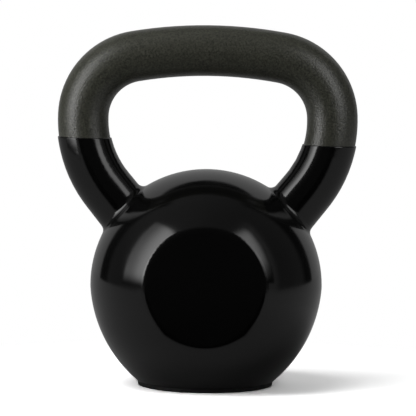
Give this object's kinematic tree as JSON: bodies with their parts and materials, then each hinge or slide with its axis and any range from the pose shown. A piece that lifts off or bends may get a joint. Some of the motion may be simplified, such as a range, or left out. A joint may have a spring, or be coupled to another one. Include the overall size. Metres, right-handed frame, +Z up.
{
  "type": "kettlebell",
  "caption": "Cast-iron kettlebell with a glossy dipped vinyl jacket on its ball and horns and a grey textured handle, standing on a flat base.",
  "frame": {"origin": "middle of the base, on the surface that the bell stands on", "axes": "+Z up through the ball and the middle of the handle; the handle runs along X; the flat round faces look along -Y and +Y"},
  "size_m": [0.2048, 0.1398, 0.2464],
  "materials": {
    "grey_iron": "as cast, under the coatings",
    "textured_coat": "fine textured powder coat, satin grey",
    "black_vinyl": "dipped vinyl, glossy black",
    "pad_rubber": "moulded rubber, dull black"
  },
  "bodies": {
    "root": {"iron_casting": "grey_iron", "handle_texture_coat": "textured_coat", "vinyl_jacket": "black_vinyl", "base_pad": "pad_rubber"}
  },
  "joints": []
}
